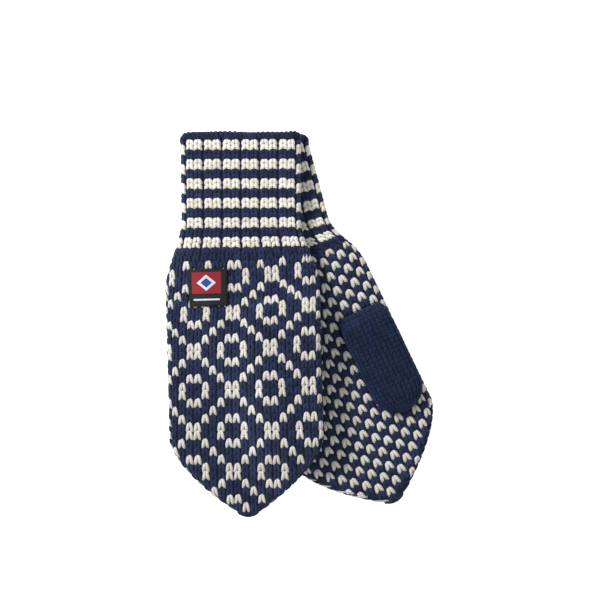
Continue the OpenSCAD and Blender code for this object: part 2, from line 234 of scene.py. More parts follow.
def thumb_fabric(m):
    """The map of a thumb's fabric: (c, r, up) to the frame, r being the distance from its root. The first
    ring lies flat round the slit in the palm, and the side away from the palm rises from it."""
    def carried(c, r, up):
        r = np.clip(r, 0, THUMB_LEN - 0.02)
        v = np.clip((r - THUMB_LEN + THUMB_ROUND) / THUMB_ROUND, 0, 1)
        narrow = 1 - 0.06 * (1 - smooth(0, 16, r))
        w = THUMB_W / 2 * narrow * np.sqrt(np.maximum(1 - v * v, 4e-4))
        h = np.minimum(THUMB_T / 2 * (1 - THUMB_END_THINNING * v * v), w)
        x, n, out_x, out_n = section_spot(c * thumb_around(r), w, h)
        n, out_n = -n, -out_n
        slant = (THUMB_T / 2 + n) / THUMB_T * SLIT_W * np.maximum(0, 1 - r / (THUMB_LEN / 2))
        rise = np.sqrt(smooth(-3, 13, r))
        n = -(HALF_T + CLEAR) - (h - n) * rise
        return place(m, THUMB_S + THUMB_ASIDE + x + up * out_x, THUMB_ROOT + CLEAR + r + slant, n + up * out_n)
    return carried


def thumb_around(r):
    """Distance round the thumb at r."""
    v = np.clip((r - THUMB_LEN + THUMB_ROUND) / THUMB_ROUND, 0, 1)
    narrow = 1 - 0.06 * (1 - smooth(0, 16, r))
    w = THUMB_W / 2 * narrow * np.sqrt(np.maximum(1 - v * v, 4e-4))
    h = np.minimum(THUMB_T / 2 * (1 - THUMB_END_THINNING * v * v), w)
    return 4 * (w - h) + 2 * math.pi * h


# ================================================================ meshes
class Mesh:
    """Points, faces and what each point carries, gathered from several parts and made into one piece. Wool that
    touches the table is pressed flat on it: no point lies lower than the table's height, nought."""

    def __init__(self):
        self.points, self.quads, self.tris = [], [], []
        self.quad_uvs, self.tri_uvs = [], []
        self.values = {"cream": [], "tone": []}
        self.count = 0

    def add(self, points, quads, tris, quad_uvs, tri_uvs, cream, tone):
        self.points.append(points)
        self.quads.append(quads + self.count)
        self.tris.append(tris + self.count)
        self.quad_uvs.append(quad_uvs)
        self.tri_uvs.append(tri_uvs)
        self.values["cream"].append(np.broadcast_to(cream, len(points)))
        self.values["tone"].append(np.broadcast_to(tone, len(points)))
        self.count += len(points)

    def piece(self, name, material):
        points = np.concatenate(self.points)
        points[:, 2] = np.maximum(points[:, 2], 0)
        quads, tris = np.concatenate(self.quads), np.concatenate(self.tris)
        corners = np.concatenate([quads.ravel(), tris.ravel()])
        starts = np.concatenate([np.arange(len(quads)) * 4, len(quads) * 4 + np.arange(len(tris)) * 3])
        uvs = np.concatenate([np.concatenate(self.quad_uvs).reshape(-1, 2),
                              np.concatenate(self.tri_uvs).reshape(-1, 2)])
        mesh = bpy.data.meshes.new(name)
        mesh.vertices.add(len(points))
        mesh.vertices.foreach_set("co", points.astype(np.float32).ravel())
        mesh.loops.add(len(corners))
        mesh.loops.foreach_set("vertex_index", corners.astype(np.int32))
        mesh.polygons.add(len(starts))
        mesh.polygons.foreach_set("loop_start", starts.astype(np.int32))
        mesh.update(calc_edges=True)
        mesh.polygons.foreach_set("use_smooth", np.ones(len(starts), bool))
        mesh.uv_layers.new(name="yarn").data.foreach_set("uv", uvs.astype(np.float32).ravel())
        for key, values in self.values.items():
            made = mesh.attributes.new(key, "FLOAT", "POINT")
            made.data.foreach_set("value", np.concatenate(values).astype(np.float32))
        mesh.materials.append(material)
        made = bpy.data.objects.new(name, mesh)
        bpy.context.scene.collection.objects.link(made)
        return made


YARN_SIDES = 6


def add_yarns(mesh, carry, paths, radius, flat, turned, cream, tone):
    """Tubes of yarn along paths, an array of (yarns, stations, 3) in c, t and up. Each station has a ring of
    points: radius across the yarn, and radius times flat in height, at equal angles. A point closes each end.
    The tone falls towards the yarn's two sides, as the squared cosine of the angle round it: painted shade where
    each yarn meets its neighbours."""
    yarns, stations = paths.shape[:2]
    along = np.gradient(paths, axis=1)
    along /= np.maximum(np.linalg.norm(along, axis=-1, keepdims=True), 1e-9)
    side = np.cross(along, np.array([0.0, 0.0, 1.0]))
    side /= np.maximum(np.linalg.norm(side, axis=-1, keepdims=True), 1e-9)
    rise = np.cross(side, along)
    a = 2 * math.pi * np.arange(YARN_SIDES) / YARN_SIDES
    radius = np.broadcast_to(radius, (yarns, stations))[..., None, None]
    rings = paths[:, :, None] + radius * (np.cos(a)[:, None] * side[:, :, None]
                                          + flat * np.sin(a)[:, None] * rise[:, :, None])
    reach = radius[:, :, 0] * 0.7
    ends = np.stack([paths[:, 0] - along[:, 0] * reach[:, 0], paths[:, -1] + along[:, -1] * reach[:, -1]], 1)
    local = np.concatenate([rings.reshape(yarns, -1, 3), ends], 1)
    points = carry(local[..., 0], local[..., 1], local[..., 2]).reshape(-1, 3)

    i, j = np.meshgrid(np.arange(stations - 1), np.arange(YARN_SIDES), indexing="ij")
    k = (j + 1) % YARN_SIDES
    quad = np.stack([i * YARN_SIDES + j, i * YARN_SIDES + k, (i + 1) * YARN_SIDES + k,
                     (i + 1) * YARN_SIDES + j], -1).reshape(-1, 4)
    ring = np.arange(YARN_SIDES)
    ahead = (ring + 1) % YARN_SIDES
    last = (stations - 1) * YARN_SIDES
    pole = stations * YARN_SIDES
    tri = np.concatenate([np.stack([np.full(YARN_SIDES, pole), ahead, ring], -1),
                          np.stack([np.full(YARN_SIDES, pole + 1), last + ring, last + ahead], -1)])
    u, v = np.meshgrid(np.arange(stations) / 2.0, np.arange(YARN_SIDES + 1) / YARN_SIDES, indexing="ij")
    quad_uv = np.stack([
        np.stack([u[i, j], v[i, j]], -1), np.stack([u[i, j + 1], v[i, j + 1]], -1),
        np.stack([u[i + 1, j + 1], v[i + 1, j + 1]], -1), np.stack([u[i + 1, j], v[i + 1, j]], -1)], -2)
    quad_uv = quad_uv.reshape(-1, 4, 2)
    tri_uv = np.zeros((len(tri), 3, 2))
    if turned:
        quad, quad_uv, tri = quad[:, ::-1], quad_uv[:, ::-1], tri[:, ::-1]
    per = stations * YARN_SIDES + 2
    # painted shade at the yarn's sides, as the squared cosine of the angle round it, and full at its two end
    # points
    painted_shade_at_sides = np.concatenate([np.tile(np.cos(a) ** 2, stations), [1, 1]])
    offset = np.arange(yarns)[:, None, None] * per
    mesh.add(points, (quad[None] + offset).reshape(-1, 4), (tri[None] + offset).reshape(-1, 3),
             np.tile(quad_uv, (yarns, 1, 1)), np.tile(tri_uv, (yarns, 1, 1)),
             np.repeat(np.broadcast_to(cream, yarns), per),
             (np.broadcast_to(tone, yarns)[:, None] - GROOVE_PAINTED_SHADE * painted_shade_at_sides[None]).ravel())


def add_slab(mesh, carry, c, t, up, down, wrap, turned, cream, tone, scale=(0.2, 0.2)):
    """A closed slab of fabric over a grid of c and t, from height down to height up: an outer and an inner
    sheet, joined along their borders. With wrap, the last column joins the first one."""
    rows, cols = c.shape
    points = np.concatenate([carry(c, t, up).reshape(-1, 3), carry(c, t, down).reshape(-1, 3)])
    base = rows * cols
    i, j = np.meshgrid(np.arange(rows - 1), np.arange(cols if wrap else cols - 1), indexing="ij")
    k = (j + 1) % cols
    outer = np.stack([i * cols + j, i * cols + k, (i + 1) * cols + k, (i + 1) * cols + j], -1).reshape(-1, 4)
    columns = np.arange(cols if wrap else cols - 1)
    near = np.stack([columns, columns + base, (columns + 1) % cols + base, (columns + 1) % cols], -1)
    far = (near + (rows - 1) * cols)[:, ::-1]
    quads = [outer, outer[:, ::-1] + base, near, far]
    if not wrap:
        r = np.arange(rows - 1) * cols
        first = np.stack([r, r + cols, r + cols + base, r + base], -1)
        quads += [first, first[:, ::-1] + cols - 1]
    quads = np.concatenate(quads)
    if turned:
        quads = quads[:, ::-1]
    flat = np.stack([c.ravel(), t.ravel()], -1) * scale
    uvs = np.concatenate([flat, flat])[quads]
    cream = np.broadcast_to(cream, c.shape).ravel()
    mesh.add(points, quads, np.zeros((0, 3), int), uvs, np.zeros((0, 3, 2)),
             np.concatenate([cream, cream]), tone)


# ================================================================ stitches
def leg_paths(c, t, wale, row, dive, foot, spread, reach, stations=6):
    """Both legs of knit stitches whose middles are at c and whose rows start at t. A leg starts foot of a wale
    beside the middle, leans outwards to spread at an even slant, and runs for reach rows; its two ends dive
    under the stitches before and after it as squares of the distance past a quarter and a half."""
    u = np.linspace(0, 1, stations)
    y = row * (-0.12 + reach * u)
    x = wale * (foot + (spread - foot) * np.minimum(1, 1.1 * u) ** 0.85)
    z = -dive[1] * np.maximum(0, (u - 0.5) / 0.5) ** 2 - dive[0] * np.maximum(0, (0.25 - u) / 0.25) ** 2
    pairs = []
    for q in (-1, 1):
        path = np.zeros((len(c), stations, 3))
        path[..., 0] = c[:, None] + q * x
        path[..., 1] = t[:, None] + y
        path[..., 2] = z
        pairs.append(path)
    return np.concatenate(pairs)


def leg_radius(radius, stations=6):
    """A leg is fullest in its middle and thinner where it dives."""
    u = np.linspace(0, 1, stations)
    return radius * (1 - 0.32 * np.abs(2 * u - 1) ** 2.5)


def knit(mesh, carry, c, t, wale, row, radius, cream, seed, turned, hill=None, foot=0.05, spread=0.31,
         reach=1.36, flat=0.8, groove=(0.8, 1.4)):
    """Knit stitches at c and t. Each gets a little unevenness of its own, from a seeded draw."""
    rng = np.random.default_rng(seed)
    count = len(c)
    c = c + rng.normal(0, 0.10, count)
    t = t + rng.normal(0, 0.10, count)
    size = np.tile(rng.normal(1, 0.035, count), 2)
    tone = np.tile(rng.normal(0, 1, count), 2)
    paths = leg_paths(c, t, wale, row, (groove[0] * radius, groove[1] * radius), foot, spread, reach)
    paths[..., 2] += -radius * flat + rng.normal(0, 0.06, len(paths))[:, None]
    if hill is not None:
        paths[..., 2] += hill(paths[..., 0], paths[..., 1])
    add_yarns(mesh, carry, paths, leg_radius(radius)[None] * size[:, None], flat, turned,
              np.tile(cream, 2), tone)


def is_cream(wale, row):
    """The pattern of the back, on a ten by ten repeat: blocks of two by two at the corners and the middle,
    rings of four by four without corners between them, and single stitches on the diagonals."""
    x, y = wale + 0.5 - 4, row + 0.5 - 2
    u, v = np.abs((x + 5) % 10 - 5), np.abs((y + 5) % 10 - 5)
    ring_u, ring_v = np.abs(u - 5), v
    ring_u2, ring_v2 = u, np.abs(v - 5)
    block = ((u < 1) & (v < 1)) | ((u > 4) & (v > 4))
    ring = ((ring_u < 2) & (ring_v < 2) & (ring_u + ring_v == 2)) | (
        (ring_u2 < 2) & (ring_v2 < 2) & (ring_u2 + ring_v2 == 2))
    single = (u == v) & (u > 1) & (u < 4)
    return (block | ring | single).astype(float)


# ================================================================ materials
class Value:
    """A number's socket that Python's operators work on; each operation adds one Math node."""

    def __init__(self, shader, socket):
        self.shader, self.socket = shader, socket

    def math(self, operation, *others):
        inputs = {0: self}
        inputs.update({i + 1: other for i, other in enumerate(others)})
        return self.shader.node("ShaderNodeMath", {"operation": operation}, inputs)

    def __add__(self, other):
        return self.math("ADD", other)

    def __mul__(self, other):
        return self.math("MULTIPLY", other)

    def __sub__(self, other):
        return self.math("SUBTRACT", other)

    def __rsub__(self, other):
        return self * -1 + other

    __radd__ = __add__
    __rmul__ = __mul__

    def sine(self):
        return self.math("SINE")

    def size(self):
        return self.math("ABSOLUTE")

    def above(self, limit):
        return self.math("GREATER_THAN", limit)

    def within(self, low, high):
        """1 between low and high, and 0 outside."""
        return self.above(low) * (1 - self.above(high))

    def kept(self):
        """The value held between 0 and 1."""
        return self.math("MAXIMUM", 0.0).math("MINIMUM", 1.0)


class Shader:
    """One material's nodes."""

    def __init__(self, name):
        self.material = bpy.data.materials.new(name)
        self.material.use_nodes = True
        self.tree = self.material.node_tree
        self.tree.nodes.clear()

    def node(self, kind, settings=None, inputs=None, output=0):
        """Adds a node: its settings first, then its inputs, which are values or links. Gives one output."""
        made = self.tree.nodes.new(kind)
        for name, setting in (settings or {}).items():
            setattr(made, name, setting)
        for key, value in (inputs or {}).items():
            if isinstance(value, Value):
                self.tree.links.new(value.socket, made.inputs[key])
            else:
                made.inputs[key].default_value = value
        return Value(self, made.outputs[output]) if made.outputs else made

    def mix(self, share, a, b):
        """Colour a where share is 0, colour b where it is 1. The Mix node's colours are its inputs 6 and 7."""
        return self.node("ShaderNodeMix", {"data_type": "RGBA"}, {0: share, 6: a, 7: b}, 2)

    def attribute(self, name):
        return self.node("ShaderNodeAttribute", {"attribute_name": name}, output=2)

    def place_on_piece(self):
        return self.node("ShaderNodeTexCoord", output=3)

    def on_surface(self):
        """Both coordinates of the piece's own map."""
        both = self.node("ShaderNodeUVMap", {"uv_map": "yarn"})
        return tuple(self.node("ShaderNodeSeparateXYZ", {}, {"Vector": both}, way) for way in (0, 1))

    def noise(self, scale, detail=3.0):
        return self.node("ShaderNodeTexNoise", {},
                         {"Vector": self.place_on_piece(), "Scale": scale, "Detail": detail})

    def finish(self, colour, roughness, height=None, relief=0.0, depth=0.0003, sheen=0.0, sheen_tint=None,
               glow=0.0):
        """The Principled shader with these on its sockets, and the output."""
        inputs = {"Base Color": colour, "Roughness": roughness, "Sheen Weight": sheen,
                  "Sheen Roughness": 0.45, "Specular IOR Level": 0.25}
        if glow:
            inputs["Emission Color"], inputs["Emission Strength"] = (1, 1, 1, 1), glow
        if sheen_tint is not None:
            inputs["Sheen Tint"] = sheen_tint
        if height is not None:
            inputs["Normal"] = self.node("ShaderNodeBump", {},
                                         {"Strength": relief, "Distance": depth, "Height": height})
        shader = self.node("ShaderNodeBsdfPrincipled", {}, inputs)
        self.node("ShaderNodeOutputMaterial", {}, {"Surface": shader})
        return self.material


NAVY = (0.0095, 0.0175, 0.056, 1)
NAVY_LIGHT = (0.030, 0.046, 0.115, 1)
NAVY_DARK = (0.0022, 0.0040, 0.014, 1)
CREAM = (0.67, 0.64, 0.57, 1)
CREAM_LIGHT = (0.77, 0.755, 0.71, 1)
CREAM_DARK = (0.48, 0.43, 0.35, 1)


def wool(name, navy=NAVY, navy_light=NAVY_LIGHT, cream=CREAM, cream_light=CREAM_LIGHT, ply_turns=2.0):
    """Two-ply wool: heathered colour in fine streaks, plies twisted round the yarn, and short hairs."""
    shader = Shader(name)
    streak = shader.noise(1900.0, 4.0)
    blotch = shader.noise(170.0, 2.0)
    # Painted shade comes in through the tone attribute: besides each stitch's random tone, it darkens the yarns'
    # sides and the cloth under the stitches
    share = (streak - 0.5) * 2.6 + (blotch - 0.5) * 1.6 + shader.attribute("tone") * 0.13
    lighter, darker = share.kept(), (share * -1).kept()
    blue = shader.mix(darker, shader.mix(lighter, navy, navy_light), NAVY_DARK)
    pale = shader.mix(darker, shader.mix(lighter, cream, cream_light), CREAM_DARK)
    colour = shader.mix(shader.attribute("cream"), blue, pale)
    along, round_yarn = shader.on_surface()
    plies = ((round_yarn * 2.0 + along * ply_turns) * (2 * math.pi)).sine()
    height = plies * 0.35 + streak * 0.9
    return shader.finish(colour, 0.88, height, 0.75, 0.0005, sheen=0.07, sheen_tint=(0.75, 0.8, 1, 1))


LABEL_BLACK, LABEL_RED = (0.003, 0.003, 0.005, 1), (0.20, 0.008, 0.014, 1)
LABEL_WHITE, LABEL_BLUE = (0.50, 0.52, 0.58, 1), (0.012, 0.045, 0.20, 1)


def label_cloth():
    """Woven label: a black ground, a red panel with a pale diamond that has a blue middle, and a pale line under
    the panel, with the fine ribs of the weave as two crossed sines. A diamond is where the distances across and
    along from its centre add up to less than its size."""
    shader = Shader("woven_label_cloth")
    x, y = shader.on_surface()
    panel = x.within(0.08, 0.84) * y.within(0.08, 0.66)
    from_centre = (x - 0.46).size() + (y - 0.37).size() * 1.15
    pale_diamond, blue_diamond = 1 - from_centre.above(0.25), 1 - from_centre.above(0.15)
    line = x.within(0.12, 0.80) * y.within(0.80, 0.845)
    weave = (x * (2 * math.pi * 46)).sine() * (y * (2 * math.pi * 62)).sine()
    colour = shader.mix(panel, LABEL_BLACK, LABEL_RED)
    colour = shader.mix(pale_diamond, colour, LABEL_WHITE)
    colour = shader.mix(blue_diamond, colour, LABEL_BLUE)
    colour = shader.mix(line, colour, LABEL_WHITE)
    return shader.finish(colour, 0.62, weave, 0.5, 0.0001)


def sewing_thread():
    """Black sewing thread, its plies a sine along and round it."""
    shader = Shader("black_sewing_thread")
    along, round_yarn = shader.on_surface()
    plies = ((round_yarn * 2.0 + along * 3.0) * (2 * math.pi)).sine()
    tone = shader.mix((plies * 0.5 + 0.5).kept(), (0.006, 0.006, 0.009, 1), (0.02, 0.02, 0.026, 1))
    return shader.finish(tone, 0.55, plies, 0.5, 0.0001)


# ================================================================ the pieces of one mitten
def fold_slip(c, t):
    """How far the rib's rows slip towards the hand at the two folds: a bell curve round each fold, fading out
    before the wrist."""
    from_fold = np.abs(wrapped(c, around_at(t))) - around_at(t) / 4
    return FOLD_SLIP * np.exp(-((from_fold / FOLD_SLIP_W) ** 2)) * (1 - smooth(46, 76, t))


def cuff_hill(c, t):
    """Height of a rib's round top over its furrows, a sixth power of the distance from the rib's middle. A
    furrow lies on the middle of the back."""
    rib = around_at(t) / CUFF_RIBS
    x = np.abs((c / rib) % 1 - 0.5) * 2
    return -2.2 * x**6


def build_cuff(m, turned):
    """The rib: two columns of stitches on each round-topped rib, furrows between the ribs, and stripes of two
    cream rows and two navy ones. The rows slip towards the hand at the folds. A navy cloth closes the gaps, its
    tone lowered as painted shade between the stitches."""
    mesh = Mesh()
    carry = fabric(m)
    k, r = np.meshgrid(np.arange(CUFF_WALES), np.arange(24), indexing="ij")
    k, r = k.ravel(), r.ravel()
    t = CUFF_FIRST + CUFF_ROW * r
    keep = t < CUFF_LEN - 0.5
    k, r, t = k[keep], r[keep], t[keep]
    rib = around_at(t) / CUFF_RIBS
    c = wrapped((k // 2 + np.where(k % 2 == 0, 0.283, 0.717)) * rib, around_at(t))
    cream = (((r - 1) % 4 < 2) & (r > 0)).astype(float)
    knit(mesh, carry, c, t + fold_slip(c, t), around_at(40.0) / CUFF_WALES, CUFF_ROW, CUFF_YARN_R, cream, 11,
         turned, cuff_hill, foot=0.06, spread=0.33, reach=1.42)
    grid_t, grid_k = np.meshgrid(np.linspace(EDGE_LEN * 0.4, CUFF_LEN + 1, 60),
                                 np.arange(CUFF_WALES * 6) / (CUFF_WALES * 6), indexing="ij")
    grid_c = (grid_k - 0.5) * around_at(grid_t)
    top = -1.5 + cuff_hill(grid_c, grid_t) * 0.35
    # Painted shade: the cloth under the stitches is navy with a lowered tone, dark in the gaps between the
    # stitches
    add_slab(mesh, carry, grid_c, grid_t, top, -KNIT_WALL, True, turned, 0.0, -3.0)
    return mesh


def build_cast_on(m, turned):
    """The cast-on edge: a yarn wound round and round the end of the fabric, over a core. It droops at the
    folds and is a little wavy."""
    mesh = Mesh()
    carry = fabric(m)
    beads, around, middle_t, middle_up = 2 * CUFF_WALES, around_at(EDGE_LEN / 2), 2.9, -1.6

    def along_edge(steps):
        c = (np.arange(steps + 1) / steps - 0.5) * around
        wave = 0.45 * np.sin(c / 9) + 0.3 * np.sin(c / 4.3 + 1)
        return c, middle_t + wave + 0.62 * fold_slip(c, np.full_like(c, middle_t))

    c, t = along_edge(beads * 9)
    turn = 2 * math.pi * beads * np.arange(beads * 9 + 1) / (beads * 9)
    coil = np.stack([c, t + 1.55 * np.sin(turn), middle_up + 0.95 * np.cos(turn)], -1)
    add_yarns(mesh, carry, coil[None], 1.38, 0.9, turned, 0.0, 0.0)
    c, t = along_edge(240)
    core = np.stack([c, t, np.full_like(c, middle_up)], -1)
    add_yarns(mesh, carry, core[None], 1.35, 0.75, turned, 0.0, -1.0)
    return mesh


def build_band(m, turned):
    """Two plain rounds of stitches between the cuff and the pattern, over a navy cloth that closes the gaps; the
    cloth's lowered tone is painted shade between the stitches.
    """
    mesh = Mesh()
    carry = fabric(m)
    wales = 2 * BACK_WALES - 6
    k, r = np.meshgrid(np.arange(wales), np.arange(2), indexing="ij")
    t = CUFF_LEN - 0.6 + 3.9 * r.ravel()
    c = wrapped((k.ravel() + 0.5) / wales * around_at(t), around_at(t))
    knit(mesh, carry, c, t, around_at(88.0) / wales, 4.1, YARN_R, np.zeros(len(c)), 21, turned)
    grid_t, grid_k = np.meshgrid(np.linspace(CUFF_LEN + 1, HAND_FROM, 8), np.arange(96) / 96, indexing="ij")
    # Painted shade: the cloth under the stitches is navy with a lowered tone, dark in the gaps between the
    # stitches
    add_slab(mesh, carry, (grid_k - 0.5) * around_at(grid_t), grid_t, -1.5, -KNIT_WALL, True, turned, 0.0, -2.5)
    return mesh


BACK_SHARE = BACK_WALES * HAND_WALE / (BACK_WALES * HAND_WALE + PALM_WALES * PALM_WALE)


def back_limit(t):
    """Distance from the middle of the back at which the back's stitches give way to the palm's, at t."""
    return around_at(t) / 2 * BACK_SHARE


def hand_stations():
    """Rows of the hand's fabric: even to the fingertip, closer over its slope, closest where it closes."""
    closing = np.sin(np.linspace(0, 0.5 * math.pi, 6))[1:]
    return np.concatenate([np.linspace(HAND_FROM, SHOULDER, 34), np.linspace(SHOULDER, HAND_TO, 16)[1:],
                           HAND_TO + (MITTEN_LEN - HAND_TO) * closing])


def add_hand_cloth(mesh, carry, limit, turned):
    """The cloth under the stitches of the back or of the palm, out to a limit on both sides of its middle. Its
    navy colour and lowered tone are painted shade in the gaps between the stitches.
    """
    t, x = np.meshgrid(hand_stations(), np.linspace(-1, 1, 41), indexing="ij")
    outer, inner = np.minimum(1.7, 0.5 * half_thick(t)), np.minimum(KNIT_WALL, 0.8 * half_thick(t))
    # Painted shade: the cloth is navy with a lowered tone, dark in the gaps between the stitches
    add_slab(mesh, carry, x * limit(t), t, -outer, -inner, False, turned, 0.0, -2.5)


def pulled(c, t):
    """Where the upper mitten's back pattern lies once it is laid over the other mitten. At stations along the
    hand the columns' spacing is scaled and they move across, and the rows move along and lean in proportion to
    the distance across. Past the middle the rows also rise towards the cuff in a smooth step, which fades out
    down the hand."""
    spread, aside, along, lean = (np.interp(t, PULL_T, values)
                                  for values in (PULL_SPREAD, PULL_ACROSS, PULL_ALONG, PULL_LEAN))
    rise = ROW_RISE * smooth(*RISE_ACROSS, c) * (1 - smooth(*RISE_FADE, t))
    return c * spread + aside, t + along + lean * c - rise


def build_back(m, turned):
    """The back's pattern, and a column of side stitches where it meets the palm."""
    mesh = Mesh()
    carry = fabric(m)
    k, r = np.meshgrid(np.arange(-1, BACK_WALES + 2), np.arange(33), indexing="ij")
    k, r = k.ravel(), r.ravel()
    t = PATTERN_FROM + HAND_ROW * r
    c = BACK_FIRST + HAND_WALE * (k + 0.5)
    if m[3] > 0:
        c, t = pulled(c, t)
    keep = (np.abs(c) < back_limit(t + HAND_ROW) - 1.4) & (t < HAND_TO - 1)
    k, r, t, c = k[keep], r[keep], t[keep], c[keep]
    knit(mesh, carry, c, t, HAND_WALE, HAND_ROW, YARN_R, is_cream(k, r), 31, turned, foot=0.07,
         spread=0.335)
    rows = np.arange(int((HAND_TO - HAND_FROM) / (0.8 * HAND_ROW)))
    t = HAND_FROM + 0.8 * HAND_ROW * rows
    for q in (-1, 1):
        cream = (rows % 2 if q < 0 else 0 * rows).astype(float)
        knit(mesh, carry, q * back_limit(t), t, 0.8 * HAND_WALE, 0.8 * HAND_ROW, 0.85 * YARN_R, cream, 33 + q,
             turned)
    add_hand_cloth(mesh, carry, back_limit, turned)
    return mesh


def build_palm(m, turned):
    """The palm's stitches on an even grid, cream where column and row add up to an odd number. None lies in
    the thumb's slit. A cloth, darkened as painted shade, closes the gaps."""
    mesh = Mesh()
    carry = palm_fabric(m)

    def limit(t):
        return around_at(t) / 2 - back_limit(t)

    k, r = np.meshgrid(np.arange(PALM_WALES), np.arange(33), indexing="ij")
    k, r = k.ravel(), r.ravel()
    t = PATTERN_FROM + HAND_ROW * r
    c = (k + 0.5 - PALM_WALES / 2) * PALM_WALE
    in_slit = (np.abs(-c - THUMB_S) < SLIT_LEN / 2 + 0.5) & (t > SLIT_T - 7.5) & (t < SLIT_T + 1)
    keep = (np.abs(c) < limit(t + HAND_ROW) - 1.4) & (t < HAND_TO - 1) & ~in_slit
    knit(mesh, carry, c[keep], t[keep], PALM_WALE, HAND_ROW, PALM_YARN_R, ((k + r) % 2).astype(float)[keep],
         41, turned, foot=0.07, spread=0.30, reach=1.22)
    add_hand_cloth(mesh, carry, limit, turned)
    return mesh


def palm_fabric(m):
    """The fabric's map with c measured from the middle of the palm."""
    carry = fabric(m)

    def carried(c, t, up):
        return carry(c + around_at(np.clip(t, 0, MITTEN_LEN - 0.05)) / 2, t, up)
    return carried


def build_floats(m, turned):
    """The carried strands: short arcs inside the fabric, each row half a span from the one before, that sink
    towards the hand in the middle. None crosses the thumb's slit."""
    mesh = Mesh()
    t = np.arange(HAND_FROM + 2, HAND_TO - 6, FLOAT_ROW)
    count = int(around_at(150.0) / FLOAT_SPAN)
    row, k = np.meshgrid(np.arange(len(t)), np.arange(count), indexing="ij")
    row, k = row.ravel(), k.ravel()
    t = t[row]
    span = around_at(t) / count
    c = wrapped((k + 0.5 * (row % 2)) * span, around_at(t))
    s_palm = -np.sign(c) * (around_at(t) / 2 - np.abs(c))
    open_here = ((np.abs(c) > around_at(t) / 4) & (np.abs(-s_palm - THUMB_S) < (SLIT_LEN + FLOAT_SPAN) / 2 + 2)
                 & (np.abs(t - SLIT_T) < SLIT_W / 2 + 2))
    c, t, span, row = c[~open_here], t[~open_here], span[~open_here], row[~open_here]
    u = np.linspace(-0.5, 0.5, 7)
    paths = np.zeros((len(c), 7, 3))
    paths[..., 0] = c[:, None] + 1.1 * span[:, None] * u
    paths[..., 1] = t[:, None] + 0.5 * np.cos(math.pi * u)
    paths[..., 2] = FLOAT_UP + 0.15 * (1 - 2 * np.cos(math.pi * u))
    add_yarns(mesh, fabric(m), paths, FLOAT_R, 0.8, turned, (row % 2).astype(float), 0.0)
    return mesh


def spots(m):
    """The map of plain s, t and n to the frame."""
    def carried(s, t, n):
        return place(m, s, t, n)
    return carried


def build_rim(m, turned):
    """The round of picked-up stitches: a yarn wound round the edge of the thumb's slit, whose line is a long
    ring of two straights joined by half circles."""
    mesh = Mesh()
    half = SLIT_W / 2 - RIM_T / 2 - 0.1
    straight = SLIT_LEN - 2 * half - RIM_T
    around = 2 * straight + 2 * math.pi * half
    coils = 34
    a = np.arange(coils * 8 + 1) / (coils * 8)
    x, y, out_x, out_y = section_spot((a - 0.5) * around, straight / 2 + half, half)
    turn = 2 * math.pi * coils * a
    path = np.stack([THUMB_S + x + 0.32 * np.cos(turn) * out_x, SLIT_T + y + 0.32 * np.cos(turn) * out_y,
                     -HALF_T + 1.25 + 0.62 * np.sin(turn)], -1)
    add_yarns(mesh, spots(m), path[None], 0.48, 1.0, turned, 0.0, 0.0)
    return mesh


def build_closure(m, turned):
    """The last stitches, gathered: the yarn wound in a few coils across the end of the fingertip."""
    mesh = Mesh()
    coils, reach = 6, TIP_W / 2 - CLOSURE_R - 1.0
    a = np.arange(coils * 10 + 1) / (coils * 10)
    turn = 2 * math.pi * coils * a
    path = np.stack([(2 * a - 1) * reach, MITTEN_LEN - 2.6 + 0.9 * np.sin(turn) - 1.3 * (2 * a - 1) ** 2,
                     1.1 * np.cos(turn)], -1)
    add_yarns(mesh, spots(m), path[None], 1.35, 1.0, turned, 0.0, 0.0)
    return mesh


def build_thumb(m, turned):
    """The thumb's fine plain stitches: columns at even shares of the way round, which narrow as the thumb's end
    closes. The cloth's rows follow a quarter sine, closest at the end. The cloth is navy with a much lowered
    tone: painted shade in the grooves between the columns."""
    mesh = Mesh()
    carry = thumb_fabric(m)
    full = thumb_around(30.0)
    k, r = np.meshgrid(np.arange(THUMB_WALES), np.arange(int(THUMB_LEN / THUMB_ROW)), indexing="ij")
    share = ((k.ravel() + 0.5) / THUMB_WALES + 0.5) % 1 - 0.5
    r = r.ravel() * THUMB_ROW + 0.4

    def by_distance(c, t, up):
        return carry(c / full, t, up)

    knit(mesh, by_distance, share * full, r, full / THUMB_WALES, THUMB_ROW, THUMB_YARN_R, np.zeros(len(r)), 51,
         not turned, foot=0.09, spread=0.26, reach=1.25, flat=1.2, groove=(1.5, 2.4))
    grid_r, grid_k = np.meshgrid(THUMB_LEN * np.sin(np.linspace(0, 0.5 * math.pi, 40)),
                                 np.arange(72) / 72 - 0.5, indexing="ij")
    # Painted shade: the cloth is navy with a much lowered tone, dark in the grooves between the stitch columns
    add_slab(mesh, carry, grid_k, grid_r, -1.35, -1.9, True, not turned, 0.0, -4.0)
    return mesh


def label_spots(m):
    """The label's map: x across and y along from its first corner, and up over the back of the hand."""
    def carried(x, y, up):
        return place(m, LABEL_S - LABEL_W / 2 + x, LABEL_FROM + y, HALF_T + up)
    return carried


def build_label(m, turned):
    """A closed, thin sheet on an even grid of x and y. Its map runs from 0 to 1 both ways."""
    mesh = Mesh()
    y, x = np.meshgrid(np.linspace(0, LABEL_LEN, 27), np.linspace(0, LABEL_W, 28), indexing="ij")
    add_slab(mesh, label_spots(m), x, y, LABEL_GAP + LABEL_T, LABEL_GAP + 0.1, False, turned, 0.0, 0.0,
             (1 / LABEL_W, 1 / LABEL_LEN))
    return mesh


